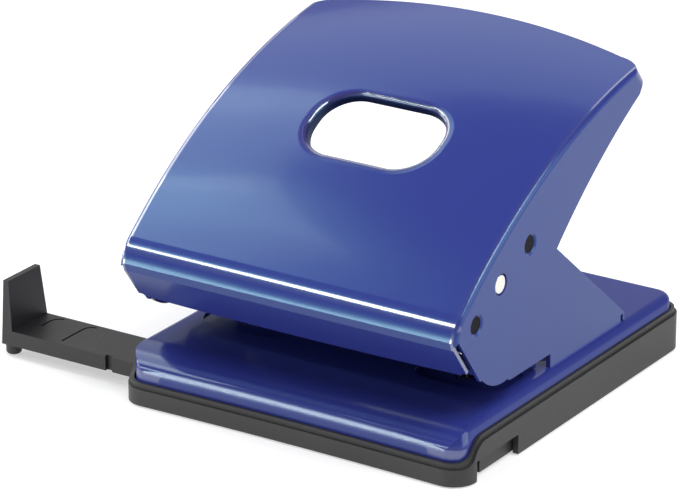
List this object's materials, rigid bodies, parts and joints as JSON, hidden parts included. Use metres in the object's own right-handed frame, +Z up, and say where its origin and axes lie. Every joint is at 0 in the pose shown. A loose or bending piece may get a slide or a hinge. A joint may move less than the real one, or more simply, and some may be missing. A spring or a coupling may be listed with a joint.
{
  "type": "two-hole desk punch",
  "caption": "Manual desk punch for paper: crowned pressed-steel lever with hand window, raked cheeks, punching mechanism, moulded base and sliding paper stop.",
  "frame": {"origin": "centre of the base on the desk, under the rubber feet", "axes": "+X to the right along the row of holes, paper goes in from the front (-Y) towards +Y, +Z up"},
  "size_m": [0.1818, 0.1415, 0.1094],
  "materials": {
    "blue_paint": "gloss blue enamel",
    "tray_plastic": "fine moulded texture",
    "stop_plastic": "satin moulded",
    "foot_rubber": "matt",
    "zinc_steel": "zinc plated",
    "hard_steel": "ground",
    "pin_steel": "turned, bright",
    "spring_steel": "drawn wire",
    "black_oxide": "blackened steel"
  },
  "bodies": {
    "base": {"base_tray": "tray_plastic", "rubber_feet": "foot_rubber", "tray_screws": "zinc_steel", "base_plate": "blue_paint", "die_bushes": "hard_steel", "side_frame_left": "blue_paint", "side_frame_right": "blue_paint", "guide_bridge": "blue_paint", "bridge_rivets": "zinc_steel", "pivot_pin": "pin_steel", "pivot_washers": "zinc_steel", "pivot_clips": "spring_steel", "detent_spring": "spring_steel"},
    "lever_arm": {"lever": "blue_paint", "presser_shaft": "black_oxide", "presser_sleeves": "zinc_steel", "stop_rod": "black_oxide"},
    "punch_left": {"plunger_left": "hard_steel", "plunger_collar_left": "zinc_steel", "plunger_spring_left": "spring_steel"},
    "punch_right": {"plunger_right": "hard_steel", "plunger_collar_right": "zinc_steel", "plunger_spring_right": "spring_steel"},
    "stop": {"paper_stop": "stop_plastic"},
    "cover": {"bottom_cover": "tray_plastic"}
  },
  "joints": [
    {"name": "lever_press", "type": "hinge", "parent": "base", "child": "lever_arm", "pos_m": [0, -0.0451, 0.0591], "axis": [-1, 0, 0], "range_deg": [0, 30]},
    {"name": "plunger_left_slide", "type": "slide", "parent": "base", "child": "punch_left", "axis": [0, 0, -1], "range_m": [0, 0.0097], "stiffness_N_per_m": 700, "springref_m": -0.012, "deforming": ["plunger_spring_left"]},
    {"name": "plunger_right_slide", "type": "slide", "parent": "base", "child": "punch_right", "axis": [0, 0, -1], "range_m": [0, 0.0097], "stiffness_N_per_m": 700, "springref_m": -0.012, "deforming": ["plunger_spring_right"]},
    {"name": "paper_stop_slide", "type": "slide", "parent": "base", "child": "stop", "axis": [-1, 0, 0], "range_m": [-0.048, 0.0351]},
    {"name": "cover_hinge", "type": "hinge", "parent": "base", "child": "cover", "pos_m": [0, 0.0622, 0.0049], "axis": [1, 0, 0], "range_deg": [0, 75]}
  ],
  "couplings": [
    {"joint": "plunger_left_slide", "follows": "lever_press", "m_per_rad": 0.0183},
    {"joint": "plunger_right_slide", "follows": "lever_press", "m_per_rad": 0.0183}
  ]
}
